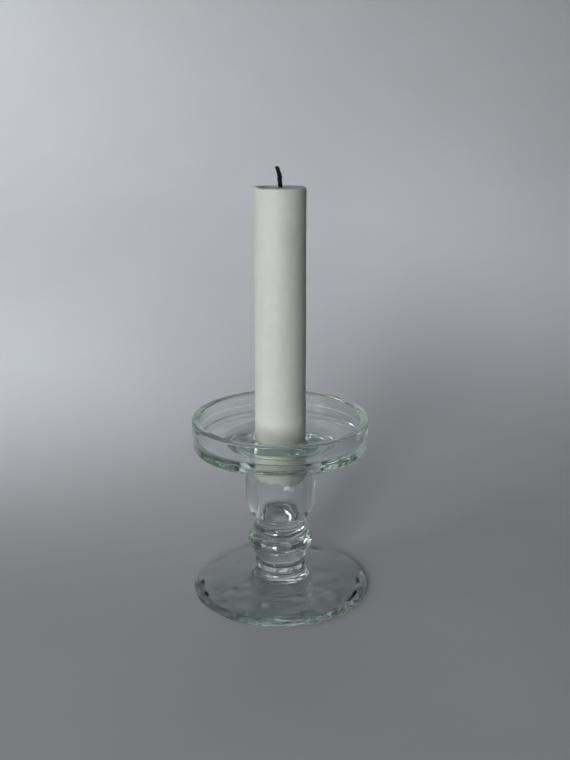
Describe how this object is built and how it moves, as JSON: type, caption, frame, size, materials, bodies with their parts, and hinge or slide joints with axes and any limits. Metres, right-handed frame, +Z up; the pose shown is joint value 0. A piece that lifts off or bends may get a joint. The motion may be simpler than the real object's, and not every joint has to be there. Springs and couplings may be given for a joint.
{
  "type": "candlestick",
  "caption": "Clear glass candlestick with a round foot, ringed stem, tapered socket and shallow drip pan, holding a removable dinner candle with a burned wick.",
  "frame": {"origin": "on the vertical axis, on the plane that the foot's underside ring stands on", "axes": "+Z up along the axis of turning, +X to the viewer's right, +Y away from the viewer"},
  "size_m": [0.0804, 0.0804, 0.1904],
  "materials": {
    "clear_glass": "clear pressed soda-lime glass, fire-polished, faintly green where it is thick",
    "candle_wax": "off-white paraffin wax, matt with a soft glow under the skin",
    "charred_wick": "braided cotton, charred black at its burned end"
  },
  "bodies": {
    "holder": {"foot": "clear_glass", "foot_collar": "clear_glass", "stem_ring": "clear_glass", "knop": "clear_glass", "socket_cup": "clear_glass", "drip_pan": "clear_glass"},
    "candle": {"candle": "candle_wax", "wick": "charred_wick"}
  },
  "joints": [
    {"name": "candle_lift", "type": "slide", "parent": "holder", "child": "candle", "axis": [0, 0, 1], "range_m": [0, 0.04]}
  ]
}
